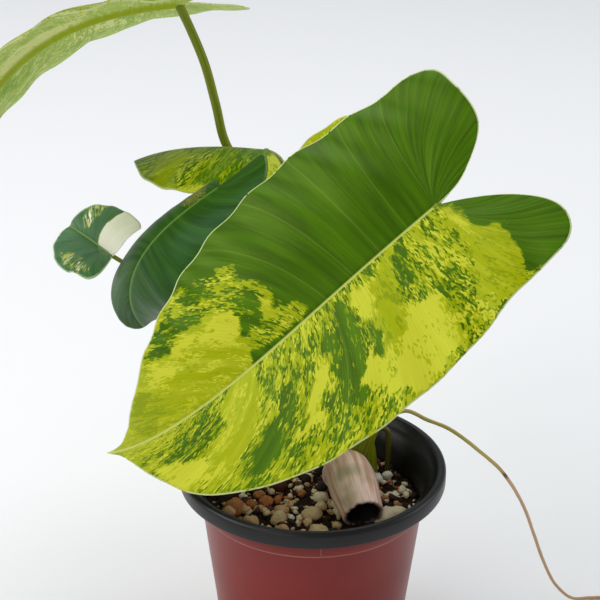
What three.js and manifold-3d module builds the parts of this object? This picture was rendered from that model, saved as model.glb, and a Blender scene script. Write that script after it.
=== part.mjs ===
// A potted variegated philodendron: a cut stem that has rooted in a plastic nursery pot and carries
// five heart-shaped leaves with long basal lobes. Units are millimetres and +Z is up. The origin is
// the centre of the pot's flat base, and -Y is the side that faces a viewer.
import * as THREE from 'three';
import Module from 'manifold-3d';
import { mergeVertices } from 'three/addons/utils/BufferGeometryUtils.js';

const wasm = await Module();
wasm.setup();

// Driving dimensions of the pot.
const RIM_RADIUS = 60;
const POT_HEIGHT = 105;
const RIM_DEPTH = 7.5;
const RIM_WIDTH = 4;
const BASE_RADIUS = 39.9;
const WALL_SLOPE = 0.118;
const WALL = 1.1;
const FLOOR = 1.4;
const SHOULDER_HEIGHT = 91;
const DRAIN_HOLES = 6;
const DRAIN_RADIUS = 4;
const DRAIN_CIRCLE = 27;

// Driving dimensions of the potting mix and of what grows in it.
const MIX_HEIGHT = 85;
const MIX_UNEVEN = 1.2;
const STONES = 70;
const STONE_SMALL = 2.3;
const STONE_LARGE = 5.2;
const STONE_SMALL_BIAS = 1.8;
const GOLDEN_TURN = 2.39996;
const GAP = 0.35;
const SETBACK = 1;
const BLADE = 0.8;
const RIB_DEPTH = 1.7;
const RIB_HALF_WIDTH = 2.2;
const RIB_TAPER = 0.9;
const RIB_FADE = 8;
const TILT_REACH = 5;

// How finely the rounded pieces are faceted.
const POT_SIDES = 48;
const STALK_SIDES = 8;
const BLADE_ROWS = 22;
const BLADE_COLUMNS = 5;
const DOME_REACH = 0.85;
const DOME_WIDTH = 0.5;

const degrees = (angle) => THREE.MathUtils.degToRad(angle);
const vector = (list) => new THREE.Vector3(...list);

const finish = (color, roughness) => new THREE.MeshStandardMaterial({ color, roughness, metalness: 0 });
const redPlastic = finish(0x8c4a40, 0.45);
const pottingMix = finish(0x6b5442, 0.95);
const oldBark = finish(0xae8a6d, 0.6);
const greenStalk = finish(0x72801c, 0.4);
const darkBlade = finish(0x3f6b1c, 0.35);
const limeBlade = finish(0x9aa81a, 0.35);
const paleBlade = finish(0xb4c069, 0.4);
const rootSkin = finish(0xc3a374, 0.6);

const plant = new THREE.Group();

function addPiece(name, geometry, material) {
  geometry.computeVertexNormals();
  const piece = new THREE.Mesh(geometry, material);
  piece.name = name;
  plant.add(piece);
  return piece;
}

// Solids go to the boolean library and back with nothing but their corners.
function toSolid(geometry) {
  const bare = geometry.clone();
  bare.deleteAttribute('normal');
  bare.deleteAttribute('uv');
  const merged = mergeVertices(bare, 1e-4);
  const mesh = new wasm.Mesh({
    numProp: 3,
    vertProperties: new Float32Array(merged.attributes.position.array),
    triVerts: new Uint32Array(merged.index.array),
  });
  mesh.merge();
  return new wasm.Manifold(mesh);
}

function toGeometry(solid) {
  const mesh = solid.getMesh();
  const geometry = new THREE.BufferGeometry();
  geometry.setAttribute('position', new THREE.BufferAttribute(new Float32Array(mesh.vertProperties), 3));
  geometry.setIndex(Array.from(mesh.triVerts));
  return geometry;
}

// The largest body of a solid, so that a cut leaves no loose scrap.
function mainBody(solid) {
  const bodies = solid.decompose();
  return bodies.reduce((best, body) => (body.volume() > best.volume() ? body : best));
}

// A repeatable draw between 0 and 1, for the stones.
let seed = 4711;
function draw() {
  seed = (seed * 16807) % 2147483647;
  return seed / 2147483647;
}

function turned(profile, sides) {
  const points = profile.map(([radius, height]) => new THREE.Vector2(radius, height));
  return new THREE.LatheGeometry(points, sides).rotateX(Math.PI / 2);
}

// A round stalk, stem or root along a smooth curve, with a domed cap on each end. The radii are
// spread evenly along it.
function stalk(points, radii, steps, sides = STALK_SIDES) {
  const curve = new THREE.CatmullRomCurve3(points.map(vector));
  const frames = curve.computeFrenetFrames(steps, false);
  const radiusAt = (u) => {
    const place = u * (radii.length - 1);
    const index = Math.min(Math.floor(place), radii.length - 2);
    return THREE.MathUtils.lerp(radii[index], radii[index + 1], place - index);
  };
  const rings = [];
  for (let step = 0; step <= steps; step += 1) {
    const u = step / steps;
    rings.push({ centre: curve.getPointAt(u), radius: radiusAt(u), frame: step });
  }
  const dome = (ring, direction) => ({
    centre: ring.centre.clone().addScaledVector(frames.tangents[ring.frame], direction * ring.radius * DOME_REACH),
    radius: ring.radius * DOME_WIDTH,
    frame: ring.frame,
  });
  rings.unshift(dome(rings[0], -1));
  rings.push(dome(rings[rings.length - 1], 1));

  const corners = [];
  for (const { centre, radius, frame } of rings) {
    for (let side = 0; side < sides; side += 1) {
      const angle = (side / sides) * 2 * Math.PI;
      const corner = centre.clone();
      corner.addScaledVector(frames.normals[frame], radius * Math.cos(angle));
      corner.addScaledVector(frames.binormals[frame], radius * Math.sin(angle));
      corners.push(corner);
    }
  }
  const faces = [];
  for (let ring = 0; ring < rings.length - 1; ring += 1) {
    for (let side = 0; side < sides; side += 1) {
      const next = (side + 1) % sides;
      const a = ring * sides + side;
      const b = ring * sides + next;
      const c = a + sides;
      const d = b + sides;
      faces.push(a, b, d, a, d, c);
    }
  }
  const last = (rings.length - 1) * sides;
  for (let side = 1; side < sides - 1; side += 1) {
    faces.push(0, side + 1, side);
    faces.push(last, last + side, last + side + 1);
  }
  return new THREE.BufferGeometry().setFromPoints(corners).setIndex(faces);
}

// The pot is one thin moulded shell: a tapered wall, a shoulder under a wide rolled rim, and a flat
// floor with drain holes near its edge.
const wallRadius = (height) => BASE_RADIUS + WALL_SLOPE * height;
const rimUnderside = POT_HEIGHT - RIM_DEPTH;
const rimInside = RIM_RADIUS - RIM_WIDTH;
const potProfile = [
  [0, 0],
  [BASE_RADIUS - 1, 0],
  [BASE_RADIUS, 1],
  [wallRadius(SHOULDER_HEIGHT) - 0.1, SHOULDER_HEIGHT - 0.6],
  [wallRadius(SHOULDER_HEIGHT) + 0.5, SHOULDER_HEIGHT + 0.2],
  [wallRadius(rimUnderside) + 0.5, rimUnderside],
  [RIM_RADIUS - 0.7, rimUnderside],
  [RIM_RADIUS, rimUnderside + 0.8],
  [RIM_RADIUS, POT_HEIGHT - 1.6],
  [RIM_RADIUS - 1.2, POT_HEIGHT - 0.3],
  [RIM_RADIUS - RIM_WIDTH / 2, POT_HEIGHT],
  [rimInside + 0.6, POT_HEIGHT - 0.4],
  [rimInside - 0.3, POT_HEIGHT - 2],
  [rimInside - 2, rimUnderside + 3],
  [wallRadius(rimUnderside) - WALL + 0.6, rimUnderside + 0.6],
  [wallRadius(SHOULDER_HEIGHT) - WALL + 0.5, SHOULDER_HEIGHT + 0.2],
  [wallRadius(SHOULDER_HEIGHT) - WALL, SHOULDER_HEIGHT - 0.6],
  [wallRadius(FLOOR) - WALL, FLOOR + 0.8],
  [wallRadius(FLOOR) - WALL - 0.8, FLOOR],
  [0, FLOOR],
];
let potSolid = toSolid(turned(potProfile, POT_SIDES));
for (let hole = 0; hole < DRAIN_HOLES; hole += 1) {
  const angle = (hole / DRAIN_HOLES) * 2 * Math.PI;
  const drill = new THREE.CylinderGeometry(DRAIN_RADIUS, DRAIN_RADIUS, 4 * FLOOR, 12);
  drill.rotateX(Math.PI / 2);
  drill.translate(DRAIN_CIRCLE * Math.cos(angle), DRAIN_CIRCLE * Math.sin(angle), 0);
  potSolid = potSolid.subtract(toSolid(drill));
}
addPiece('pot', toGeometry(potSolid), redPlastic);

// The old stem is the thick cutting that everything grew from. It lies back from its cut end, which
// faces the viewer and has rotted hollow, and dives into the mix behind.
const oldStemPath = [[22.4, -23, 92], [19.6, -13, 96], [17.2, 0, 97.5], [15, 13, 92], [12, 24, 78], [11, 30, 66]];
const oldStemRadii = [9.2, 10.8, 10.6, 9.6, 8.2, 6.5];
const oldStemSides = 16;
const cavityRadius = 7.4;
const cavityDepth = 11;
const oldStem = stalk(oldStemPath, oldStemRadii, 16, oldStemSides);
const cutFace = vector(oldStemPath[0]);
const cutOutward = cutFace.clone().sub(vector(oldStemPath[1])).normalize();
const upright = new THREE.Vector3(0, 1, 0);
const alongCut = new THREE.Quaternion().setFromUnitVectors(upright, cutOutward);
function alongStem(geometry, offset) {
  geometry.applyQuaternion(alongCut);
  const place = cutFace.clone().addScaledVector(cutOutward, offset);
  return toSolid(geometry.translate(place.x, place.y, place.z));
}
const trimBox = new THREE.CylinderGeometry(20, 20, 20, oldStemSides);
const cavity = new THREE.CylinderGeometry(cavityRadius, cavityRadius * 0.7, cavityDepth + 2, 14);
let oldStemSolid = toSolid(oldStem);
oldStemSolid = oldStemSolid.subtract(alongStem(trimBox, 10));
oldStemSolid = oldStemSolid.subtract(alongStem(cavity, 1 - cavityDepth / 2));
addPiece('old_stem', toGeometry(oldStemSolid), oldBark);
const fatter = (radii) => radii.map((radius) => radius + GAP);
const oldStemHole = toSolid(stalk(oldStemPath, fatter(oldStemRadii), 16, oldStemSides));

// The leafy shoot rises from the mix beside the old stem, and every leaf stalk leaves from it.
const shootPath = [[24, 25, 70], [24, 23, 88], [23, 20, 102], [23, 18, 114]];
const shootRadii = [5, 6.6, 6.2, 4.2];
const shootSolid = toSolid(stalk(shootPath, shootRadii, 10, 12));
addPiece('shoot_stem', toGeometry(mainBody(shootSolid.subtract(oldStemHole))), greenStalk);
const shootHole = toSolid(stalk(shootPath, fatter(shootRadii), 10, 12));

// Two aerial roots leave the shoot. One is short and goes straight down into the mix. The other
// hangs out over the rim and reaches the table, where its end lies flat.
const anchorPath = [[25, 25, 99], [31, 25.5, 108], [34.5, 25, 107], [35.5, 25.5, 98], [35.5, 26, 84], [35, 27, 72]];
const anchorRadii = [1.3, 1.4, 1.3, 1.3, 1.3, 0.9];
const anchorSolid = toSolid(stalk(anchorPath, anchorRadii, 14));
addPiece('anchor_root', toGeometry(mainBody(anchorSolid.subtract(shootHole))), greenStalk);
const anchorHole = toSolid(stalk(anchorPath, fatter(anchorRadii), 14));

const aerialPath = [
  [26, 21, 98], [32, 22.5, 112], [42.4, 24, 117.8], [53.4, 26, 112], [62.3, 24, 109], [70.2, 18, 106.3],
  [76.6, 16, 101.5], [85.4, 18, 92.5], [93.8, 22, 79.5], [101.3, 27, 63.5], [107, 30, 47.5], [113.8, 33, 28.5],
  [121.6, 38, 12], [131, 42, 2], [140, 44, 1], [152, 44.5, 0.9], [166, 42, 0.9],
];
const aerialRadii = [0.95, 0.9, 0.85, 0.8, 0.75, 0.7];
const aerialSolid = toSolid(stalk(aerialPath, aerialRadii, 48));
addPiece('aerial_root', toGeometry(mainBody(aerialSolid.subtract(shootHole).subtract(anchorHole))), rootSkin);

// The mix is a plug of bark and grit with stones bedded in its uneven top. Every stem and root
// stands in a plain hole in it.
const mixRadius = (height) => wallRadius(height) - WALL - GAP;
const mixRings = 5;
const mixProfile = [[0, FLOOR + GAP], [mixRadius(FLOOR) - 1.2, FLOOR + GAP]];
mixProfile.push([mixRadius(MIX_HEIGHT) - 0.1, MIX_HEIGHT - 1]);
for (let ring = mixRings; ring >= 0; ring -= 1) {
  mixProfile.push([(ring / mixRings) * (mixRadius(MIX_HEIGHT) - 1.2), MIX_HEIGHT]);
}
const mixBody = turned(mixProfile, 32);
const swellAt = (x, y) => Math.sin(x * 0.19 + 1) * Math.cos(y * 0.16 - 0.4) + 0.5 * Math.sin((x + y) * 0.31);
const mixCorners = mixBody.attributes.position;
for (let index = 0; index < mixCorners.count; index += 1) {
  if (mixCorners.getZ(index) > MIX_HEIGHT - 0.5) {
    const swell = swellAt(mixCorners.getX(index), mixCorners.getY(index));
    mixCorners.setZ(index, MIX_HEIGHT + MIX_UNEVEN * swell);
  }
}
let mixSolid = toSolid(mixBody);
const stones = [];
for (let stone = 0; stone < STONES; stone += 1) {
  const reach = mixRadius(MIX_HEIGHT) - STONE_LARGE - 0.8;
  const radius = reach * Math.sqrt((stone + 0.5) / STONES);
  const angle = stone * GOLDEN_TURN + draw() * 0.5;
  const size = THREE.MathUtils.lerp(STONE_SMALL, STONE_LARGE, draw() ** STONE_SMALL_BIAS);
  const pebble = new THREE.IcosahedronGeometry(size, 0);
  pebble.scale(1, 0.72 + 0.28 * draw(), 0.62 + 0.2 * draw());
  pebble.rotateZ(draw() * Math.PI);
  pebble.rotateX(draw() * 0.6 - 0.3);
  pebble.translate(radius * Math.cos(angle), radius * Math.sin(angle), MIX_HEIGHT + size * (0.1 + 0.2 * draw()));
  stones.push(toSolid(pebble));
}
mixSolid = wasm.Manifold.union([mixSolid, ...stones]);
mixSolid = mixSolid.subtract(wasm.Manifold.union([oldStemHole, shootHole, anchorHole]));
addPiece('potting_mix', toGeometry(mainBody(mixSolid)), pottingMix);

// A leaf blade is grown flat and then bent. Its flat outline runs from the joint with its stalk,
// round one half, to the tip: x is along the midrib and y is out from it. Side veins leave the
// midrib at even steps and curve towards the tip, and the mesh follows them. Then the midrib droops
// and sweeps along its length, and each half rises from it and rolls over towards its edge.
const FAN_SHARE = 0.4;
const VEIN_LEAN = 0.2;
const VEIN_BELLY = 0.65;
const COLUMN_SPREAD = 1.4;
const WAVE_LEAN = 0.45;
function frameAt(leaf, x, half) {
  const along = Math.max(x, 0) / leaf.length;
  const behind = Math.max(-x, 0) / (0.3 * leaf.length);
  const droop = degrees(leaf.droop * along ** 1.5 - leaf.lobeDroop[half] * behind);
  const sweep = degrees(leaf.sweep * along ** 3);
  const twist = degrees(leaf.twist * along);
  const { toward, facing, across } = leaf;
  const swept = toward.clone().multiplyScalar(Math.cos(sweep)).addScaledVector(across, Math.sin(sweep));
  const level = toward.clone().multiplyScalar(-Math.sin(sweep)).addScaledVector(across, Math.cos(sweep));
  const tangent = swept.clone().multiplyScalar(Math.cos(droop)).addScaledVector(facing, -Math.sin(droop));
  const upward = swept.clone().multiplyScalar(Math.sin(droop)).addScaledVector(facing, Math.cos(droop));
  const sideways = level.clone().multiplyScalar(Math.cos(twist)).addScaledVector(upward, Math.sin(twist));
  const normal = level.clone().multiplyScalar(-Math.sin(twist)).addScaledVector(upward, Math.cos(twist));
  return { tangent, sideways, normal };
}

function midribAt(leaf, x, half) {
  const place = leaf.joint.clone();
  const steps = Math.max(4, Math.ceil(Math.abs(x) / 4));
  for (let step = 0; step < steps; step += 1) {
    const { tangent } = frameAt(leaf, (x * (step + 0.5)) / steps, half);
    place.addScaledVector(tangent, x / steps);
  }
  return place;
}

function bent(leaf, x, y, half) {
  const { sideways, normal } = frameAt(leaf, x, half);
  const sign = half === 0 ? 1 : -1;
  const steps = 8;
  let out = 0;
  let up = 0;
  const slopeAt = (reach) => degrees(leaf.rise[half] + (leaf.roll[half] * reach) / leaf.halfWidth);
  for (let step = 0; step < steps; step += 1) {
    const slope = slopeAt((y * (step + 0.5)) / steps);
    out += (Math.cos(slope) * y) / steps;
    up += (Math.sin(slope) * y) / steps;
  }
  const phase = (2 * Math.PI * (x - WAVE_LEAN * y)) / leaf.waveLength + leaf.wavePhase[half];
  up += leaf.wave[half] * Math.sin(phase) * (Math.max(y, 0) / leaf.halfWidth) ** 1.5;
  const tilt = slopeAt(y) * Math.min(1, y / TILT_REACH);
  const place = midribAt(leaf, x, half);
  place.addScaledVector(sideways, sign * out).addScaledVector(normal, up);
  const facing = normal.clone().multiplyScalar(Math.cos(tilt));
  facing.addScaledVector(sideways, -sign * Math.sin(tilt));
  return { place, facing };
}

function blade(leaf) {
  const corners = [];
  const faces = [];
  const ids = new Map();
  const outlines = leaf.outlines.map((list) => new THREE.SplineCurve(list.map(([x, y]) => new THREE.Vector2(x, y))));
  const ribRow = (row) => leaf.length * Math.max(0, (row / BLADE_ROWS - FAN_SHARE) / (1 - FAN_SHARE));
  const cornerAt = (half, row, column) => {
    const atJoint = row === 0 || (column === 0 && ribRow(row) === 0);
    const atTip = row === BLADE_ROWS;
    const shared = atJoint ? 'joint' : atTip ? 'tip' : column === 0 ? `rib${row}` : `${half}.${row}.${column}`;
    if (ids.has(shared)) return ids.get(shared);
    const edge = outlines[half].getPoint(row / BLADE_ROWS);
    const rib = ribRow(row);
    const t = atJoint || atTip ? 0 : (column / BLADE_COLUMNS) ** COLUMN_SPREAD;
    const x = (1 - t) ** 2 * rib + 2 * t * (1 - t) * (rib + VEIN_LEAN * (edge.x - rib)) + t * t * edge.x;
    const y = 2 * t * (1 - t) * VEIN_BELLY * edge.y + t * t * edge.y;
    const { place, facing } = bent(leaf, x, y, half);
    const ribFade = x > 0 ? 1 - (RIB_TAPER * x) / leaf.length : Math.max(0, 1 + x / RIB_FADE);
    const ribShare = Math.exp(-((y / RIB_HALF_WIDTH) ** 2)) * ribFade;
    const depth = BLADE + RIB_DEPTH * leaf.ribScale * ribShare;
    corners.push(place.clone());
    corners.push(place.clone().addScaledVector(facing, -depth));
    ids.set(shared, corners.length / 2 - 1);
    return corners.length / 2 - 1;
  };
  const addFace = (a, b, c, turn) => {
    if (a === b || b === c || a === c) return;
    const [p, q, r] = turn ? [a, c, b] : [a, b, c];
    faces.push(2 * p, 2 * q, 2 * r);
    faces.push(2 * p + 1, 2 * r + 1, 2 * q + 1);
  };
  const addEdge = (a, b, turn) => {
    const [p, q] = turn ? [b, a] : [a, b];
    faces.push(2 * p, 2 * p + 1, 2 * q + 1);
    faces.push(2 * p, 2 * q + 1, 2 * q);
  };
  for (const half of [0, 1]) {
    const turn = half === 0;
    for (let row = 0; row < BLADE_ROWS; row += 1) {
      for (let column = 0; column < BLADE_COLUMNS; column += 1) {
        const a = cornerAt(half, row, column);
        const b = cornerAt(half, row, column + 1);
        const c = cornerAt(half, row + 1, column);
        const d = cornerAt(half, row + 1, column + 1);
        addFace(a, b, d, turn);
        addFace(a, d, c, turn);
      }
      addEdge(cornerAt(half, row, BLADE_COLUMNS), cornerAt(half, row + 1, BLADE_COLUMNS), turn);
    }
  }
  return new THREE.BufferGeometry().setFromPoints(corners).setIndex(faces);
}

// Each leaf is placed by its joint and by the way its midrib and its upper face point there.
const leaves = [
  {
    name: 'front', material: limeBlade, length: 202, halfWidth: 65, ribScale: 1,
    joint: [50.6, 0, 229.1], toward: [-0.759, -0.265, -0.595], facing: [-0.342, -0.615, 0.71],
    droop: 34, sweep: -54, twist: -10, rise: [5, 18], roll: [-11, -28], lobeDroop: [6, -10],
    wave: [0.8, 1.5], waveLength: 27, wavePhase: [0, 1],
    outlines: [
      [[0, 0], [-12, 8], [-28, 22], [-37, 39], [-29, 52], [-2, 55], [42, 61], [97, 56], [142, 38], [164, 20],
        [179, 7.5], [189, 2.2], [202, 0]],
      [[0, 0], [-17, 2.4], [-37, 15], [-41, 36], [-36, 51], [-6, 58], [41, 63], [95, 57], [143, 39], [168, 20],
        [179, 8.5], [188, 2.4], [202, 0]],
    ],
    stalk: [[23, 17, 101], [33, 17, 135], [46, 19, 180], [54, 12, 213], [51.2, 1.2, 227.8]],
    stalkRadii: [4.2, 3.2, 2.8, 2.6, 2.5],
  },
  {
    name: 'dark', material: darkBlade, length: 101, halfWidth: 35, ribScale: 0.7,
    joint: [-42.9, 47, 218.5], toward: [-0.818, -0.162, -0.552], facing: [-0.282, -0.723, 0.631],
    droop: 89, sweep: 74, twist: -33, rise: [35, -29], roll: [-45, -102], lobeDroop: [-25, 50],
    wave: [0.6, 0.8], waveLength: 20, wavePhase: [0, 2],
    outlines: [
      [[0, 0], [-13, 0.3], [-23, 1.2], [-27.5, 4.5], [-26.3, 13], [-17.5, 20], [-5, 23.5], [20, 26], [48, 27], [73, 22],
        [87, 13], [97, 4], [101, 0]],
      [[0, 0], [-1.5, 3], [-1, 7], [2, 11.5], [8, 16], [17, 21], [28, 26], [50, 28], [75, 23], [90, 14],
        [97, 9], [100, 4], [101, 0]],
    ],
    stalk: [[21, 20, 106], [4, 24, 142], [-20, 33, 182], [-36, 43, 206], [-42.6, 48.4, 217]],
    stalkRadii: [3.4, 2.6, 2.3, 2.1, 2],
  },
  {
    name: 'marbled', material: limeBlade, length: 83, halfWidth: 29, ribScale: 0.7,
    joint: [-22.1, 82, 224], toward: [-0.851, 0.515, -0.105], facing: [-0.12, 0.005, 0.993],
    droop: 24, sweep: -6, twist: -13, rise: [1, -30], roll: [-35, -85], lobeDroop: [4, 60],
    wave: [0.6, 0.6], waveLength: 22, wavePhase: [1, 0],
    outlines: [
      [[0, 0], [-4, 2.5], [-10, 7], [-17, 14.5], [-19.5, 24], [-8, 31], [17, 32], [40, 30], [61, 21], [72, 11],
        [78, 5], [81, 2], [83, 0]],
      [[0, 0], [-2, 3], [-5, 8], [-7, 14], [-7, 20], [-1, 27], [16, 31], [40, 29], [61, 20], [72, 11],
        [78, 5], [81, 2], [83, 0]],
    ],
    stalk: [[24, 21, 108], [22, 40, 143], [4, 60, 182], [-15, 76, 208], [-22, 82, 222.6]],
    stalkRadii: [3, 2.4, 2.1, 1.9, 1.9],
  },
  {
    name: 'high', material: paleBlade, length: 160, halfWidth: 56, ribScale: 1,
    joint: [-64.1, 120, 283.2], toward: [-0.983, -0.167, -0.078], facing: [-0.109, 0.183, 0.977],
    droop: 96, sweep: 52, twist: 25, rise: [24, -24], roll: [-45, 36], lobeDroop: [0, 3],
    wave: [1.2, 1.2], waveLength: 30, wavePhase: [0, 2],
    outlines: [
      [[0, 0], [-13, 5], [-30, 16], [-38, 30], [-30, 41], [-5, 45], [34, 48], [78, 44], [116, 30], [138, 16],
        [149, 7], [155, 3], [160, 0]],
      [[0, 0], [-13, 5], [-29, 16], [-37, 30], [-29, 41], [-4, 47], [33, 50], [77, 45], [117, 31], [139, 16],
        [150, 7], [155, 3], [160, 0]],
    ],
    stalk: [[22, 22, 110], [14, 60, 132], [-4, 98, 160], [-27, 116, 190], [-42.5, 119.5, 213], [-47.2, 122, 232],
      [-52.2, 123, 252], [-58.4, 122, 269], [-63.8, 120.3, 282]],
    stalkRadii: [3.6, 2.9, 2.5, 2.3, 2.2, 2.2],
  },
  {
    name: 'small', material: darkBlade, length: 55, halfWidth: 19, ribScale: 0.45,
    joint: [-98.5, 95, 164.9], toward: [-0.497, 0.866, -0.052], facing: [-0.43, -0.19, 0.88],
    droop: 6, sweep: 1, twist: -12, rise: [38, 43], roll: [-44, -54], lobeDroop: [19, -31],
    wave: [0.4, 0.4], waveLength: 14, wavePhase: [0, 1],
    outlines: [
      [[0, 0], [-5, 2], [-10, 7], [-13, 14], [-11, 19], [-2, 21], [11, 23], [26, 21], [40, 15], [47, 8], [51, 4],
        [53, 1], [55, 0]],
      [[0, 0], [-5, 2], [-11, 7], [-13, 14], [-11, 19], [-2, 22], [11, 23], [26, 21], [40, 15], [47, 8], [51, 4],
        [53, 1], [55, 0]],
    ],
    stalk: [[20, 21, 98], [-8, 38, 108], [-38, 66, 122], [-66, 91, 139], [-88, 99, 155], [-98.2, 95.8, 164]],
    stalkRadii: [2.4, 1.7, 1.4, 1.2, 1.1],
  },
  {
    name: 'back', material: limeBlade, length: 50, halfWidth: 17, ribScale: 0.45,
    joint: [13.6, 62, 230], toward: [-0.75, -0.1, -0.65], facing: [-0.35, -0.6, 0.72],
    droop: 20, sweep: 0, twist: 0, rise: [10, 10], roll: [-20, -20], lobeDroop: [0, 0],
    wave: [0.4, 0.4], waveLength: 14, wavePhase: [0, 1],
    outlines: [
      [[0, 0], [-4, 2], [-9, 6], [-12, 11], [-10, 15], [-2, 17], [10, 19], [24, 17], [36, 12], [43, 6], [46, 3],
        [48, 1], [50, 0]],
      [[0, 0], [-4, 2], [-9, 6], [-12, 11], [-10, 15], [-2, 17], [10, 19], [24, 17], [36, 12], [43, 6], [46, 3],
        [48, 1], [50, 0]],
    ],
    stalk: [[25, 21, 110], [27, 38, 150], [22, 54, 196], [14.2, 61.6, 228.6]],
    stalkRadii: [2.6, 1.9, 1.6, 1.3],
  },
];

let taken = wasm.Manifold.union([shootHole, oldStemHole, anchorHole]);
for (const leaf of leaves) {
  leaf.joint = vector(leaf.joint);
  leaf.toward = vector(leaf.toward).normalize();
  leaf.facing = vector(leaf.facing);
  leaf.facing.addScaledVector(leaf.toward, -leaf.facing.dot(leaf.toward)).normalize();
  leaf.across = leaf.facing.clone().cross(leaf.toward);
  addPiece(`leaf_${leaf.name}`, blade(leaf), leaf.material);
  const rod = toSolid(stalk(leaf.stalk, leaf.stalkRadii, 12));
  const underRib = leaf.facing.dot(leaf.joint) - BLADE - RIB_DEPTH * leaf.ribScale - SETBACK;
  const cutRod = rod.trimByPlane(leaf.facing.clone().negate().toArray(), -underRib);
  const trimmed = mainBody(cutRod.subtract(taken));
  addPiece(`stalk_${leaf.name}`, toGeometry(trimmed), greenStalk);
  taken = taken.add(toSolid(stalk(leaf.stalk, fatter(leaf.stalkRadii), 12)));
}

export default plant;
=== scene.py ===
"""A potted variegated philodendron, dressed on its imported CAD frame."""
import math
import random

import bmesh
import bpy
from mathutils import Matrix, Vector, noise
from mathutils.geometry import interpolate_bezier


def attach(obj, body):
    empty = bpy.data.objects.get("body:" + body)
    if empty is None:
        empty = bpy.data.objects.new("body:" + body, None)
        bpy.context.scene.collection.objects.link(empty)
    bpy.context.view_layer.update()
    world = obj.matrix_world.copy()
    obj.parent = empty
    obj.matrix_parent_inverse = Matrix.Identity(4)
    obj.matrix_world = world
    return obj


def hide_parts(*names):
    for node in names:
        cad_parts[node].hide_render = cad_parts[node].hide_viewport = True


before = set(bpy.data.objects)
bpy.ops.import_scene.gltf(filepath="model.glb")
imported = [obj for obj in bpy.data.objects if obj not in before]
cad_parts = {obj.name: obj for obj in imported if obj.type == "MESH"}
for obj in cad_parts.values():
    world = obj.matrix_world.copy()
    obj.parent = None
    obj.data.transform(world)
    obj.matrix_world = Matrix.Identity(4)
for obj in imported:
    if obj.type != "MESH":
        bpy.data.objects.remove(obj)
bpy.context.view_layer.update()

# The viewer stands in front of the pot and looks down on it with a long lens, close enough
# that the highest leaf and the pot's foot both run out of the picture.
viewer_place = Vector((-0.006, -0.6417, 0.4842))
viewer_pitch = math.radians(65)
viewer_roll = math.radians(0.3)
viewer_lens = bpy.data.cameras.new("viewer")
viewer_lens.sensor_width = 36
viewer_lens.lens = 99
viewer = bpy.data.objects.new("viewer", viewer_lens)
viewer.matrix_world = (
    Matrix.Translation(viewer_place)
    @ Matrix.Rotation(viewer_pitch, 4, "X")
    @ Matrix.Rotation(viewer_roll, 4, "Z")
)
bpy.context.scene.collection.objects.link(viewer)
bpy.context.scene.camera = viewer
bpy.context.scene.view_settings.view_transform = "Standard"


# The pot stands on a plain pale table that runs far past the view on every side.
def tint(red, green, blue):
    """A colour as a paint chart gives it, from 0 to 255, for a shader."""
    shares = [value / 255 for value in (red, green, blue)]
    return (*[s / 12.92 if s < 0.04045 else ((s + 0.055) / 1.055) ** 2.4 for s in shares], 1)


def new_finish(name, **shader_values):
    """A node material, its tree and its shader, with the shader's even values set."""
    finish = bpy.data.materials.new(name)
    finish.use_nodes = True
    shader = finish.node_tree.nodes["Principled BSDF"]
    for socket, value in shader_values.items():
        shader.inputs[socket.replace("_", " ")].default_value = value
    return finish, finish.node_tree, shader


table_half_width = 4
table_mesh = bmesh.new()
bmesh.ops.create_grid(table_mesh, x_segments=1, y_segments=1, size=table_half_width)
table_data = bpy.data.meshes.new("table_top")
table_mesh.to_mesh(table_data)
table_mesh.free()
table_top = bpy.data.objects.new("table_top", table_data)
bpy.context.scene.collection.objects.link(table_top)
table_paint = new_finish("table_paint", Base_Color=tint(242, 242, 243), Roughness=0.7)[0]
table_data.materials.append(table_paint)

# Soft daylight: an even pale sky, a wide window on the left, a weaker one on the right, a faint one
# in front, and a broad glow from above and behind that gives the leaves their sheen.
sky = bpy.data.worlds.new("sky")
sky.use_nodes = True
sky.node_tree.nodes["Background"].inputs["Color"].default_value = (0.9, 0.95, 1.0, 1)
sky.node_tree.nodes["Background"].inputs["Strength"].default_value = 0.42
bpy.context.scene.world = sky


def add_window(name, place, target, size, power, colour):
    """A square soft light at a place, turned towards a target."""
    light = bpy.data.lights.new(name, "AREA")
    light.shape = "SQUARE"
    light.size = size
    light.energy = power
    light.color = colour
    lamp = bpy.data.objects.new(name, light)
    lamp.location = place
    lamp.rotation_euler = (Vector(target) - Vector(place)).to_track_quat("-Z", "Y").to_euler()
    bpy.context.scene.collection.objects.link(lamp)


plant_middle = (0, 0.03, 0.15)
add_window("left_window", (-1.5, -0.3, 1.2), plant_middle, 1.2, 16, (1, 0.98, 0.95))
add_window("right_window", (1.6, 0.3, 0.9), plant_middle, 1.0, 7, (0.95, 0.97, 1))
add_window("front_fill", (-0.8, -1.5, 0.9), plant_middle, 0.8, 4, (1, 0.99, 0.97))
add_window("top_glow", (-0.2, 0.7, 1.9), plant_middle, 1.6, 17, (1, 1, 1))


# The pot is a thin moulded nursery pot in brick-red plastic with a black rim and lining. It has a
# shoulder under the rim with a painted highlight along its edge, a small foot radius, six round drain
# holes, and rubbed mould marks.
MM = 0.001


def link_piece(name, mesh, finishes, nodes=()):
    """Makes a bmesh a finished piece of the plant, standing for the CAD nodes that it replaces."""
    data = bpy.data.meshes.new(name)
    mesh.to_mesh(data)
    mesh.free()
    piece = bpy.data.objects.new(name, data)
    bpy.context.scene.collection.objects.link(piece)
    for finish in finishes:
        data.materials.append(finish)
    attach(piece, "root")
    if nodes:
        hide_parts(*nodes)
    return piece


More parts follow.
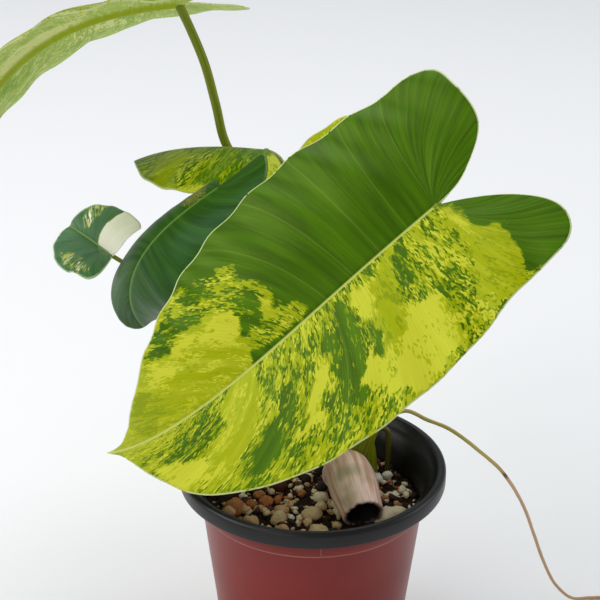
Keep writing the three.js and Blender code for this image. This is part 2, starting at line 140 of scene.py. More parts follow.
def add_node(tree, kind, inputs=None, **settings):
    """Adds one node. Each input is a plain value or another node's output."""
    made = tree.nodes.new("ShaderNode" + kind)
    for name, value in settings.items():
        setattr(made, name, value)
    for name, value in (inputs or {}).items():
        if isinstance(value, bpy.types.NodeSocket):
            tree.links.new(value, made.inputs[name])
        else:
            made.inputs[name].default_value = value
    return made


def combine(tree, operation, first, second):
    """Two numbers worked into one."""
    return add_node(tree, "Math", {0: first, 1: second}, operation=operation).outputs[0]


def carry(tree, value, low, high, start=0.0, end=1.0):
    """Carries a value from between low and high over to between start and end, and no further."""
    return add_node(tree, "MapRange", {0: value, 1: low, 2: high, 3: start, 4: end}).outputs[0]


def blend(tree, share, below, above, blend_type="MIX"):
    """Lays one colour over another by a share."""
    inputs = {0: share, 6: below, 7: above}
    return add_node(tree, "Mix", inputs, data_type="RGBA", blend_type=blend_type).outputs[2]


def add_noise(tree, place, scale, detail):
    """Soft random values over a place."""
    return add_node(tree, "TexNoise", {"Vector": place, "Scale": scale, "Detail": detail}).outputs["Fac"]


def add_ramp(tree, value, stops, interpolation="LINEAR"):
    """A colour for a value, from stops that give a position and a tint each."""
    node = add_node(tree, "ValToRGB", {"Fac": value})
    ramp = node.color_ramp
    ramp.interpolation = interpolation
    while len(ramp.elements) < len(stops):
        ramp.elements.new(0.5)
    for element, (position, colour) in zip(ramp.elements, stops):
        element.position = position
        element.color = colour
    return node.outputs["Color"]


def paint(tree, shader, shade):
    """Gives a shader its colour."""
    tree.links.new(shade, shader.inputs["Base Color"])


def add_bump(tree, shader, height, strength, distance, invert=False):
    """Fine relief on a shader, from a height."""
    inputs = {"Height": height, "Strength": strength, "Distance": distance}
    bump = add_node(tree, "Bump", inputs, invert=invert)
    tree.links.new(bump.outputs["Normal"], shader.inputs["Normal"])


pot_turns = 120
pot_rim_underside = 97.5
pot_profile = [
    (0, 0), (23, 0), (31, 0), (38.6, 0), (39.5, 0.25), (39.95, 1.1), (42, 18), (44.5, 40), (47.2, 62),
    (50.05, 86.4), (50.3, 87), (51, 87.8), (51.5, 92), (51.9, 97.2), (52.3, 97.5), (59.2, 97.5),
    (59.8, 97.8), (60, 98.4), (60, 103.2), (59.75, 104.1), (59, 104.7), (58.2, 105), (57.4, 105),
    (56.6, 104.7), (56.1, 104), (55.7, 103), (54, 100.5), (51, 98.2), (50.2, 91.4), (49.5, 90.4),
    (46.1, 62), (43.4, 40), (39.2, 3), (38.4, 1.6), (37.4, 1.4), (31, 1.4), (23, 1.4), (0, 1.4),
]
pot_mesh = bmesh.new()
profile_points = [pot_mesh.verts.new((radius * MM, 0, height * MM)) for radius, height in pot_profile]
profile_lines = [pot_mesh.edges.new(pair) for pair in zip(profile_points, profile_points[1:])]
bmesh.ops.spin(
    pot_mesh, geom=profile_points + profile_lines, axis=(0, 0, 1), angle=2 * math.pi,
    steps=pot_turns, use_merge=True,
)
bmesh.ops.remove_doubles(pot_mesh, verts=pot_mesh.verts, dist=1e-6)
bmesh.ops.recalc_face_normals(pot_mesh, faces=pot_mesh.faces)
for face in pot_mesh.faces:
    middle = face.calc_center_median()
    outward = face.normal.dot(Vector((middle.x, middle.y, 0)))
    under_rim = middle.z < (pot_rim_underside - 0.2) * MM
    on_base = middle.z < 0.5 * MM
    is_red = under_rim and (outward > 0 or on_base)
    face.material_index = 0 if is_red else 1
    face.smooth = True

red_plastic, red_tree, red_shader = new_finish("red_plastic", Roughness=0.34, Specular_IOR_Level=0.24)
red_place = add_node(red_tree, "TexCoord").outputs["Object"]
red_cloud = add_noise(red_tree, red_place, 28.0, 5.0)
red_body = add_ramp(red_tree, red_cloud, [(0.3, tint(112, 30, 24)), (0.75, tint(126, 38, 31))])
red_parts = add_node(red_tree, "SeparateXYZ", {0: red_place})


def thin_line(value, middle, half_width):
    """How far a coordinate is inside a thin line, from 0 outside to 1 on it, in metres."""
    offset = combine(red_tree, "SUBTRACT", value, middle)
    distance = combine(red_tree, "ABSOLUTE", offset, 0.0)
    return carry(red_tree, distance, half_width / 2, half_width, 1.0, 0.0)


# The pale line round the shoulder step is a painted highlight on its edge; the upright seam is a real mould
# mark. Both are made patchy.
red_shoulder_highlight = thin_line(red_parts.outputs["Z"], 0.0876, 0.0006)
red_seam_across = thin_line(red_parts.outputs["X"], 0.0035, 0.0003)
red_seam_up = thin_line(red_parts.outputs["Z"], 0.091, 0.0035)
red_seam = combine(red_tree, "MULTIPLY", red_seam_across, red_seam_up)
red_highlight_and_seam = combine(red_tree, "MAXIMUM", red_shoulder_highlight, red_seam)
red_line_patchiness = carry(red_tree, red_cloud, 0.35, 0.6, 0.2, 0.6)
red_highlight_and_worn_seam = combine(red_tree, "MULTIPLY", red_highlight_and_seam, red_line_patchiness)
red_shade = blend(red_tree, red_highlight_and_worn_seam, red_body, tint(190, 132, 118))
paint(red_tree, red_shader, red_shade)
add_bump(red_tree, red_shader, add_noise(red_tree, red_place, 900.0, 3.0), 0.08, 0.0004)

black_plastic, black_tree, black_shader = new_finish("black_plastic", Roughness=0.36, Specular_IOR_Level=0.32)
black_place = add_node(black_tree, "TexCoord").outputs["Object"]
black_dust = add_noise(black_tree, black_place, 60.0, 6.0)
black_shade = add_ramp(black_tree, black_dust, [(0.35, tint(10, 9, 9)), (0.8, tint(24, 22, 21))])
paint(black_tree, black_shader, black_shade)

drain_holes = 6
drain_radius = 4 * MM
drain_circle = 27 * MM
drill_length = 8 * MM
drill_mesh = bmesh.new()
for hole in range(drain_holes):
    turn = 2 * math.pi * hole / drain_holes
    place = Matrix.Translation((drain_circle * math.cos(turn), drain_circle * math.sin(turn), 0))
    bmesh.ops.create_cone(
        drill_mesh, cap_ends=True, segments=32, radius1=drain_radius, radius2=drain_radius,
        depth=drill_length, matrix=place,
    )
drill_data = bpy.data.meshes.new("drill")
drill_mesh.to_mesh(drill_data)
drill_mesh.free()
drill = bpy.data.objects.new("drill", drill_data)
bpy.context.scene.collection.objects.link(drill)
nursery_pot = link_piece("nursery_pot", pot_mesh, [red_plastic, black_plastic], ["pot"])
drilled = nursery_pot.modifiers.new("drain_holes", "BOOLEAN")
drilled.object = drill
drilled.operation = "DIFFERENCE"
drilled.solver = "EXACT"
bpy.context.view_layer.update()
drilled_pot = nursery_pot.evaluated_get(bpy.context.evaluated_depsgraph_get())
drilled_data = bpy.data.meshes.new_from_object(drilled_pot)
nursery_pot.modifiers.clear()
nursery_pot.data = drilled_data
bpy.data.objects.remove(drill)

# The potting mix is dark bark and soil that fills the pot to a finger below its rim. Its top is
# lumpy, and larger stones and grit lie bedded in it.
mix_radius = 48.1
mix_height = 85
mix_steps = 110
mix_foot_height, mix_foot_share = 2, 0.83


def mix_top(x, y):
    """Height of the mix's top at a place, in millimetres, with lumps."""
    swell = math.sin(x * 0.19 + 1) * math.cos(y * 0.16 - 0.4) + 0.5 * math.sin((x + y) * 0.31)
    lumps = noise.noise(Vector((x * 0.22, y * 0.22, 3))) + 0.6 * noise.noise(Vector((x * 0.6, y * 0.6, 7)))
    return mix_height - 0.6 + 1.1 * swell + 1.6 * lumps


mix_mesh = bmesh.new()
bmesh.ops.create_grid(mix_mesh, x_segments=mix_steps, y_segments=mix_steps, size=1)
mix_edge = [edge for edge in mix_mesh.edges if edge.is_boundary]
skirt = bmesh.ops.extrude_edge_only(mix_mesh, edges=mix_edge)["geom"]
skirt_points = {item for item in skirt if isinstance(item, bmesh.types.BMVert)}
for point in mix_mesh.verts:
    u, v = point.co.x, point.co.y
    x = mix_radius * u * math.sqrt(1 - v * v / 2)
    y = mix_radius * v * math.sqrt(1 - u * u / 2)
    if point in skirt_points:
        point.co = Vector((x * mix_foot_share, y * mix_foot_share, mix_foot_height)) * MM
    else:
        point.co = Vector((x, y, mix_top(x, y))) * MM
mix_bottom = [item for item in skirt if isinstance(item, bmesh.types.BMEdge)]
bmesh.ops.contextual_create(mix_mesh, geom=mix_bottom)
bmesh.ops.recalc_face_normals(mix_mesh, faces=mix_mesh.faces)
for face in mix_mesh.faces:
    face.smooth = True

soil_finish, soil_tree, soil_shader = new_finish("soil_crumbs", Roughness=0.95, Specular_IOR_Level=0.2)
soil_place = add_node(soil_tree, "TexCoord").outputs["Object"]
soil_cells = add_node(soil_tree, "TexVoronoi", {"Vector": soil_place, "Scale": 620.0})
soil_shade = add_ramp(soil_tree, soil_cells.outputs["Color"], [(0, tint(15, 10, 7)), (1, tint(58, 39, 27))])
paint(soil_tree, soil_shader, soil_shade)
add_bump(soil_tree, soil_shader, soil_cells.outputs["Distance"], 0.9, 0.0012, invert=True)
link_piece("potting_soil", mix_mesh, [soil_finish], ["potting_mix"])

# Stones, bark chips and grit lie loose on the mix: pale pumice, tan and rust-brown gravel, and dark
# bark. The larger ones lie where the solid's stones lie, by the same repeated draw. A little space
# stays clear under the old stem's open end, and the stones near it take the dark bark tone as painted
# shade in the stem's mouth.
stone_count = 70
stone_small, stone_large = 2.3, 5.2
stone_small_bias = 1.8
stone_field, stone_clearance = 48.4, 0.8
stone_reach = stone_field - stone_large - stone_clearance
golden_turn, golden_share = 2.39996, 0.618
stone_seed = 4711
cut_end_x, cut_end_y, mouth_shade_reach = 23, -30, 13
mouth_shade_tone = 0.8
clear_half_width, clear_front, clear_back = 11, -43, -16


def draw_share():
    """The next number of a repeatable row of draws, between 0 and 1."""
    global stone_seed
    stone_seed = (stone_seed * 16807) % 2147483647
    return stone_seed / 2147483647


stone_mesh = bmesh.new()
stone_tone = stone_mesh.verts.layers.float.new("tone")


def bed_stone(matrix, size, divisions, tone, rough):
    """One rounded, slightly dented stone, with the tone that its colour comes from."""
    made = bmesh.ops.create_icosphere(stone_mesh, subdivisions=divisions, radius=size * MM, matrix=Matrix())
    for point in made["verts"]:
        dent = noise.noise(point.co / MM * (1.3 / size) + Vector((tone * 40, size * 9, 2)))
        point.co *= 1 + rough * dent
        point[stone_tone] = tone
    bmesh.ops.transform(stone_mesh, matrix=matrix, verts=made["verts"])


for stone in range(stone_count):
    out = stone_reach * math.sqrt((stone + 0.5) / stone_count)
    turn = stone * golden_turn + draw_share() * 0.5
    size = stone_small + (stone_large - stone_small) * draw_share() ** stone_small_bias
    scale = Matrix.Diagonal((1, 0.72 + 0.28 * draw_share(), 0.62 + 0.2 * draw_share(), 1))
    yaw = Matrix.Rotation(draw_share() * math.pi, 4, "Z")
    tip = Matrix.Rotation(draw_share() * 0.6 - 0.3, 4, "X")
    x, y = out * math.cos(turn), out * math.sin(turn)
    height = mix_height + size * (0.1 + 0.2 * draw_share())
    place = Matrix.Translation(Vector((x, y, height)) * MM)
    # Stones under the cut end are painted the near-black bark tone: painted shade inside the stem's mouth.
    under_cut_end = math.hypot(x - cut_end_x, y - cut_end_y) < mouth_shade_reach
    tone = mouth_shade_tone if under_cut_end else (stone * golden_share) % 1
    bed_stone(place @ tip @ yaw @ scale, size * 0.97, 3, tone, 0.26)

grit = random.Random(29)
grit_count, grit_reach = 900, 47
for grain in range(grit_count):
    out = grit_reach * math.sqrt(grit.random())
    turn = grit.random() * 2 * math.pi
    size = 0.4 + 1.7 * grit.random() ** 2
    tone = grit.random()
    length = 2.2 if 0.62 < tone < 0.88 else 1.2
    x, y = out * math.cos(turn), out * math.sin(turn)
    if abs(x - cut_end_x) < clear_half_width and clear_front < y < clear_back:
        continue
    scale = Matrix.Diagonal((length, 0.7 + 0.3 * grit.random(), 0.6 + 0.3 * grit.random(), 1))
    lie = Matrix.Rotation(grit.random() * math.pi, 4, "Z") @ Matrix.Rotation(grit.random() - 0.5, 4, "X")
    place = Matrix.Translation(Vector((x, y, mix_top(x, y) + size * 0.3)) * MM)
    bed_stone(place @ lie @ scale, size, 1, tone, 0.5)
for face in stone_mesh.faces:
    face.smooth = True

stone_finish, stone_tree, stone_shader = new_finish("gravel", Roughness=0.8, Specular_IOR_Level=0.3)
stone_tints = [
    (0, tint(222, 206, 178)), (0.2, tint(204, 176, 136)), (0.38, tint(190, 150, 112)),
    (0.5, tint(164, 104, 60)), (0.62, tint(84, 44, 34)), (0.76, tint(36, 23, 18)), (0.9, tint(236, 230, 216)),
]
tone_value = add_node(stone_tree, "Attribute", attribute_name="tone").outputs["Fac"]
stone_body = add_ramp(stone_tree, tone_value, stone_tints, "CONSTANT")
stone_place = add_node(stone_tree, "TexCoord").outputs["Object"]
stone_pits = add_noise(stone_tree, stone_place, 900.0, 6.0)
stone_shade = blend(stone_tree, 0.45, stone_body, stone_pits, "OVERLAY")
paint(stone_tree, stone_shader, stone_shade)
add_bump(stone_tree, stone_shader, stone_pits, 0.6, 0.0005)
link_piece("gravel", stone_mesh, [stone_finish])


# The old stem is the thick cutting that everything grew from: tan, streaked lengthwise and shrunken,
# with a ragged cut end that faces the viewer and has rotted hollow.
def smooth_course(points, steps):
    """Evenly spaced points along the smooth line through the given ones."""
    points = [Vector(point) for point in points]
    chain = [2 * points[0] - points[1], *points, 2 * points[-1] - points[-2]]
    dense = []
    for a, b, c, d in zip(chain, chain[1:], chain[2:], chain[3:]):
        before, across, after = (b - a).length ** 0.5, (c - b).length ** 0.5, (d - c).length ** 0.5
        leave = ((b - a) / before - (c - a) / (before + across) + (c - b) / across) * across
        arrive = ((c - b) / across - (d - b) / (across + after) + (d - c) / after) * across
        dense += interpolate_bezier(b, b + leave / 3, c - arrive / 3, c, 17)[:-1]
    dense.append(points[-1])
    lengths = [0]
    for here, there in zip(dense, dense[1:]):
        lengths.append(lengths[-1] + (there - here).length)
    course, index = [], 0
    for step in range(steps + 1):
        goal = lengths[-1] * step / steps
        while index < len(dense) - 2 and lengths[index + 1] < goal:
            index += 1
        share = (goal - lengths[index]) / (lengths[index + 1] - lengths[index])
        course.append(dense[index].lerp(dense[index + 1], share))
    return course


def carried_frames(course):
    """A side and an upward direction at each point of a course, carried along without twisting."""
    frames = []
    side = None
    for index, point in enumerate(course):
        ahead = (course[min(index + 1, len(course) - 1)] - course[max(index - 1, 0)]).normalized()
        if side is None:
            side = ahead.orthogonal().normalized()
        else:
            side = last_ahead.rotation_difference(ahead) @ side
            side = (side - ahead * side.dot(ahead)).normalized()
        frames.append((ahead, side, ahead.cross(side)))
        last_ahead = ahead
    return frames


def spread(values, share):
    """The value at a share of the way along evenly spaced values."""
    place = min(max(share, 0), 1) * (len(values) - 1)
    index = min(int(place), len(values) - 2)
    return values[index] + (values[index + 1] - values[index]) * (place - index)


def grain_sheet(rings, sides, length, round_length):
    """A flat grid to wrap into a stem, with a grain map along it and round it, in millimetres."""
    sheet = bmesh.new()
    sheet.loops.layers.uv.new("grain")
    bmesh.ops.create_grid(sheet, x_segments=rings, y_segments=sides, size=1, calc_uvs=True)
    grain = sheet.loops.layers.uv["grain"]
    for face in sheet.faces:
        face.smooth = True
        for corner in face.loops:
            u, v = corner[grain].uv
            corner[grain].uv = (u * length, v * round_length)
    return sheet


END_CAP = [(0, 0.95), (0.7, 0.6)]


def grown_tube(points, radii, steps, sides, skin=None):
    """A closed round stem along a smooth line, which skin(along, turn) may swell or shrink. Each end
    is closed by the rings of END_CAP, given by their share of the radius and how far out they stand."""
    course = smooth_course(points, steps)
    frames = carried_frames(course)
    length = sum((b - a).length for a, b in zip(course, course[1:]))
    rings = steps + 2 * len(END_CAP)
    tube = grain_sheet(rings, sides, length, 2 * math.pi * sum(radii) / len(radii))
    for point in tube.verts:
        ring = round((point.co.x + 1) / 2 * rings)
        turn = (point.co.y + 1) * math.pi
        step = min(max(ring - len(END_CAP), 0), steps)
        ahead, side, upward = frames[step]
        radius = spread(radii, step / steps)
        if skin:
            radius *= 1 + skin(step / steps, turn)
        centre = course[step]
        from_end = min(ring, rings - ring)
        if from_end < len(END_CAP):
            share, reach = END_CAP[from_end]
            outward = -ahead if ring == from_end else ahead
            centre, radius = centre + outward * reach * radius, radius * share
        point.co = (centre + side * radius * math.cos(turn) + upward * radius * math.sin(turn)) * MM
    bmesh.ops.remove_doubles(tube, verts=tube.verts, dist=1e-7)
    bmesh.ops.recalc_face_normals(tube, faces=tube.faces)
    return tube


old_stem_points = [
    (22.4, -23, 92), (19.6, -13, 96), (17.2, 0, 97.5), (15, 13, 92), (12, 24, 78), (11, 30, 66),
]
old_stem_radii = [9.2, 10.8, 10.6, 9.6, 8.2, 6.5]
old_stem_steps, old_stem_sides = 70, 64
old_stem_grain = (90, 60)
ragged_steps = 8
cavity_rings, cavity_depth = 16, 11
lip_share, lip_bulge = 0.25, 0.4
old_course = smooth_course(old_stem_points, old_stem_steps)
old_frames = carried_frames(old_course)
all_rings = old_stem_steps + cavity_rings
old_mesh = grain_sheet(all_rings, old_stem_sides, *old_stem_grain)
hollow_shade_mark = old_mesh.verts.layers.float.new("hollow")
for point in old_mesh.verts:
    ring = round((point.co.x + 1) / 2 * all_rings)
    turn = (point.co.y + 1) * math.pi
    inside = max(0, cavity_rings - ring) / cavity_rings
    step = max(0, ring - cavity_rings)
    ahead, side, upward = old_frames[step]
    around = Vector((math.cos(turn) * 1.4, math.sin(turn) * 1.4, 0))
    ragged = 1.3 * noise.noise(around * 2 + Vector((4, 0, 0))) + 0.8 * noise.noise(around * 5)
    ridge = 0.07 * noise.noise(Vector((math.cos(turn) * 1.4, math.sin(turn) * 1.4, step * 0.03)))
    ridge += 0.02 * noise.noise(Vector((math.cos(turn) * 6, math.sin(turn) * 6, step * 0.04)))
    radius = spread(old_stem_radii, step / old_stem_steps) * (1 + ridge)
    fade = max(0, 1 - step / ragged_steps)
    centre = old_course[step] - ahead * ragged * fade
    if inside:
        over_lip = min(inside / lip_share, 1)
        past_lip = max(0, inside - lip_share)
        depth = lip_bulge * math.sin(over_lip * math.pi) - cavity_depth * past_lip / (1 - lip_share)
        radius *= 1 - 0.2 * over_lip - 0.25 * past_lip if ring else 0
        centre = old_course[0] - ahead * (ragged * (1 - inside) + depth)
    point[hollow_shade_mark] = min(1, inside / lip_share)
    point.co = (centre + side * radius * math.cos(turn) + upward * radius * math.sin(turn)) * MM
bmesh.ops.remove_doubles(old_mesh, verts=old_mesh.verts, dist=1e-7)
open_end = [edge for edge in old_mesh.edges if edge.is_boundary]
bmesh.ops.contextual_create(old_mesh, geom=open_end)
bmesh.ops.recalc_face_normals(old_mesh, faces=old_mesh.faces)


def streaks(tree, map_name, along, across, detail):
    """Soft streaks drawn out along a piece's own map."""
    place = add_node(tree, "UVMap", uv_map=map_name).outputs["UV"]
    drawn = add_node(tree, "Mapping", {"Vector": place, "Scale": (along, across, 1)})
    return add_noise(tree, drawn.outputs[0], 1.0, detail)


bark_finish, bark_tree, bark_shader = new_finish("old_stem_bark", Roughness=0.42, Specular_IOR_Level=0.4)
bark_streaks = streaks(bark_tree, "grain", 0.03, 0.3, 5.0)
bark_body = add_ramp(bark_tree, bark_streaks, [
    (0.3, tint(174, 134, 106)), (0.42, tint(218, 172, 144)), (0.56, tint(242, 212, 198)),
    (0.72, tint(222, 178, 148)),
])
bark_place = add_node(bark_tree, "TexCoord").outputs["Object"]
bark_greening = carry(bark_tree, add_noise(bark_tree, bark_place, 55.0, 2.0), 0.58, 0.72, 0.0, 0.5)
bark_green = blend(bark_tree, bark_greening, bark_body, tint(124, 122, 78))
# The hollow end is painted near-black from its lip inwards: painted shade in the recess.
hollow_shade = add_node(bark_tree, "Attribute", attribute_name="hollow").outputs["Fac"]
bark_shade = blend(bark_tree, hollow_shade, bark_green, tint(30, 22, 18))
paint(bark_tree, bark_shader, bark_shade)
add_bump(bark_tree, bark_shader, bark_streaks, 0.5, 0.001)
link_piece("old_stem_end", old_mesh, [bark_finish], ["old_stem"])

# The leafy shoot and the leaf stalks are smooth and green, round in section, with fine lengthwise
# lines. Each stalk leaves the shoot and ends under the joint of its leaf.
stalk_finish, stalk_tree, stalk_shader = new_finish("green_stalk", Roughness=0.45, Specular_IOR_Level=0.28)
stalk_streaks = streaks(stalk_tree, "grain", 0.03, 1.2, 5.0)
stalk_shade = add_ramp(stalk_tree, stalk_streaks, [(0.3, tint(92, 108, 2)), (0.7, tint(142, 150, 14))])
paint(stalk_tree, stalk_shader, stalk_shade)
add_bump(stalk_tree, stalk_shader, stalk_streaks, 0.3, 0.0004)

shoot_points = [(24, 25, 70), (24, 23, 88), (23, 20, 102), (23, 18, 114)]
shoot_mesh = grown_tube(shoot_points, [5, 6.6, 6.2, 4.2], 40, 32)
link_piece("leafy_shoot", shoot_mesh, [stalk_finish], ["shoot_stem"])

# Two aerial roots leave the shoot. One is short, dull green and goes straight down into the mix. The
# other hangs out over the rim and reaches the table, green near the shoot and tan and dry beyond.
anchor_points = [
    (25, 25, 99), (31, 25.5, 108), (34.5, 25, 107), (35.5, 25.5, 98), (35.5, 26, 84), (35, 27, 72),
]
anchor_mesh = grown_tube(anchor_points, [1.3, 1.4, 1.3, 1.3, 1.3, 0.9], 60, 16)
anchor_finish, anchor_tree, anchor_shader = new_finish("root_green", Roughness=0.45, Specular_IOR_Level=0.3)
anchor_streaks = streaks(anchor_tree, "grain", 0.08, 0.8, 4.0)
anchor_shade = add_ramp(anchor_tree, anchor_streaks, [(0, tint(58, 56, 12)), (1, tint(116, 108, 40))])
paint(anchor_tree, anchor_shader, anchor_shade)
link_piece("short_root", anchor_mesh, [anchor_finish], ["anchor_root"])

aerial_points = [
    (26, 21, 98), (32, 22.5, 112), (42.4, 24, 117.8), (53.4, 26, 112), (62.3, 24, 109), (70.2, 18, 106.3),
    (76.6, 16, 101.5), (85.4, 18, 92.5), (93.8, 22, 79.5), (101.3, 27, 63.5), (107, 30, 47.5),
    (113.8, 33, 28.5), (121.6, 38, 12), (131, 42, 2), (140, 44, 1), (152, 44.5, 0.9), (166, 42, 0.9),
]
aerial_radii = [0.95, 0.9, 0.85, 0.8, 0.75, 0.7]
aerial_tint_reach = 215.0


def root_skin(along, turn):
    """Small swellings along a dry root."""
    return 0.12 * noise.noise(Vector((along * 40, math.cos(turn) * 0.6, math.sin(turn) * 0.6)))


aerial_mesh = grown_tube(aerial_points, aerial_radii, 300, 14, root_skin)
root_finish, root_tree, root_shader = new_finish("root_skin", Roughness=0.6, Specular_IOR_Level=0.3)
root_grain = add_node(root_tree, "UVMap", uv_map="grain").outputs["UV"]
root_along = add_node(root_tree, "SeparateXYZ", {0: root_grain}).outputs["X"]
root_share = carry(root_tree, root_along, 0.0, aerial_tint_reach)
root_shade = add_ramp(root_tree, root_share, [
    (0, tint(168, 160, 84)), (0.3, tint(190, 172, 96)), (0.4, tint(184, 156, 92)), (0.415, tint(70, 46, 28)),
    (0.43, tint(200, 166, 128)), (0.6, tint(198, 164, 126)), (1, tint(176, 140, 104)),
])
paint(root_tree, root_shader, root_shade)
link_piece("long_root", aerial_mesh, [root_finish], ["aerial_root"])

# Each leaf is one thin, glossy, slightly rippled blade: a long heart with two basal lobes, a pale
# midrib that stands out underneath, side veins that curve to the margin, and a fine pale rim. It is
# grown flat, from its joint round each half to its tip, and then bent as it hangs on its stalk.
BLADE = 0.8
RIB_DEPTH, RIB_HALF_WIDTH, RIB_TAPER, RIB_FADE = 1.7, 2.2, 0.9, 8
GROOVE_DEPTH, GROOVE_HALF_WIDTH = 0.35, 1.1
LOBE_SHARE = 0.3
TILT_REACH = 5
FAN_SHARE = 0.4
VEIN_LEAN, VEIN_BELLY, COLUMN_SPREAD, WAVE_LEAN = 0.2, 0.65, 1.4, 0.45


def outline_point(outline, share):
    """A point on the smooth outline of one half, from the joint at 0 to the tip at 1."""
    place = min(share, 1) * (len(outline) - 1)
    index = min(int(place), len(outline) - 2)
    w = place - index
    a, b, c, d = (Vector(outline[min(max(index + k, 0), len(outline) - 1)]) for k in (-1, 0, 1, 2))
    leave, arrive = (c - a) / 2, (d - b) / 2
    return (
        (2 * b - 2 * c + leave + arrive) * w**3 + (3 * c - 3 * b - 2 * leave - arrive) * w**2 + leave * w + b
    )


class Blade:
    """The bent surface of one leaf, in millimetres."""

    def __init__(self, facts):
        self.facts = facts
        self.length = facts["length"]
        self.joint = Vector(facts["joint"])
        self.toward = Vector(facts["toward"]).normalized()
        facing = Vector(facts["facing"])
        self.facing = (facing - self.toward * facing.dot(self.toward)).normalized()
        self.across = self.facing.cross(self.toward)
        self.midribs = [self.trace_midrib(half) for half in (0, 1)]

    def frame_at(self, x, half):
        facts = self.facts
        along = max(x, 0) / self.length
        behind = max(-x, 0) / (LOBE_SHARE * self.length)
        droop = math.radians(facts["droop"] * along**1.5 - facts["lobe_droop"][half] * behind)
        sweep = math.radians(facts["sweep"] * along**3)
        twist = math.radians(facts["twist"] * along)
        swept = self.toward * math.cos(sweep) + self.across * math.sin(sweep)
        level = self.across * math.cos(sweep) - self.toward * math.sin(sweep)
        tangent = swept * math.cos(droop) - self.facing * math.sin(droop)
        upward = swept * math.sin(droop) + self.facing * math.cos(droop)
        sideways = level * math.cos(twist) + upward * math.sin(twist)
        normal = upward * math.cos(twist) - level * math.sin(twist)
        return tangent, sideways, normal

    def trace_midrib(self, half):
        """Points on the midrib at every half millimetre, ahead of the joint and behind it."""
        traced = []
        for direction in (1, -1):
            place = self.joint.copy()
            line = [place.copy()]
            for step in range(int(2 * self.length) + 4):
                tangent = self.frame_at(direction * (step + 0.5) / 2, half)[0]
                place += tangent * (direction / 2)
                line.append(place.copy())
            traced.append(line)
        return traced

    def midrib_at(self, x, half):
        line = self.midribs[half][0 if x >= 0 else 1]
        index = min(int(abs(x) * 2), len(line) - 2)
        return line[index].lerp(line[index + 1], abs(x) * 2 - index)

    def flat_point(self, share, t, half):
        """Where a side vein is, on the flat blade, a share t of its way to the margin."""
        edge = outline_point(self.facts["outlines"][half], share)
        rib = self.length * max(0, (share - FAN_SHARE) / (1 - FAN_SHARE))
        x = (1 - t) ** 2 * rib + 2 * t * (1 - t) * (rib + VEIN_LEAN * (edge.x - rib)) + t * t * edge.x
        y = 2 * t * (1 - t) * VEIN_BELLY * edge.y + t * t * edge.y
        return x, y

    def bent_point(self, x, y, half, lift=0, under=False):
        """The place of a flat point on the bent blade's upper face, or on its underside."""
        facts = self.facts
        _, sideways, normal = self.frame_at(x, half)
        sign = 1 if half == 0 else -1
        rise = math.radians(facts["rise"][half])
        bend = math.radians(facts["roll"][half]) / facts["half_width"]
        out = (math.sin(rise + bend * y) - math.sin(rise)) / bend
        up = (math.cos(rise) - math.cos(rise + bend * y)) / bend
        phase = 2 * math.pi * (x - WAVE_LEAN * y) / facts["wave_length"] + facts["wave_phase"][half]
        up += facts["wave"][half] * math.sin(phase) * (max(y, 0) / facts["half_width"]) ** 1.5
        place = self.midrib_at(x, half) + sideways * (sign * out) + normal * up
        tilt = (rise + bend * y) * min(1, y / TILT_REACH)
        facing = normal * math.cos(tilt) - sideways * (sign * math.sin(tilt))
        place += facing * lift
        if under:
            fade = 1 - RIB_TAPER * x / self.length if x > 0 else max(0, 1 + x / RIB_FADE)
            rib = math.exp(-((y / RIB_HALF_WIDTH) ** 2)) * fade
            place -= facing * (BLADE + RIB_DEPTH * facts["rib_scale"] * rib)
        return place


# The zones waver by seeded noise, so that every run paints the same leaves.
ZONE_EDGE = 5
WAVER_SEED = 1795640173
noise.seed_set(WAVER_SEED)


def painted(x, y, side, facts):
    """Paleness, breakup and creaminess at a flat point: each zone is a wavering oval laid over the
    ones before it, given by its middle, its reach each way, its turn and its three values. A zone
    stays on its own side of the midrib."""
    values = list(facts["start"][0 if side > 0 else 1])
    waver = noise.noise_vector(Vector((x * 0.07, y * 0.1, 1)))
    waver += 0.4 * noise.noise_vector(Vector((x, y, 9)) * 0.3)
    x += waver.x * facts["waver"]
    y += waver.y * facts["waver"]
    for middle_x, middle_y, reach_x, reach_y, turn, *zone in facts["zones"]:
        if middle_y * side < 0:
            continue
        turn = math.radians(turn)
        dx, dy = x - middle_x, y - middle_y
        along = (dx * math.cos(turn) + dy * math.sin(turn)) / reach_x
        across = (dy * math.cos(turn) - dx * math.sin(turn)) / reach_y
        inside = (1 - math.hypot(along, across)) * min(reach_x, reach_y)
        weight = min(max(0.5 + inside / ZONE_EDGE, 0), 1)
        weight = weight * weight * (3 - 2 * weight)
        values = [value + (wanted - value) * weight for value, wanted in zip(values, zone)]
    return values


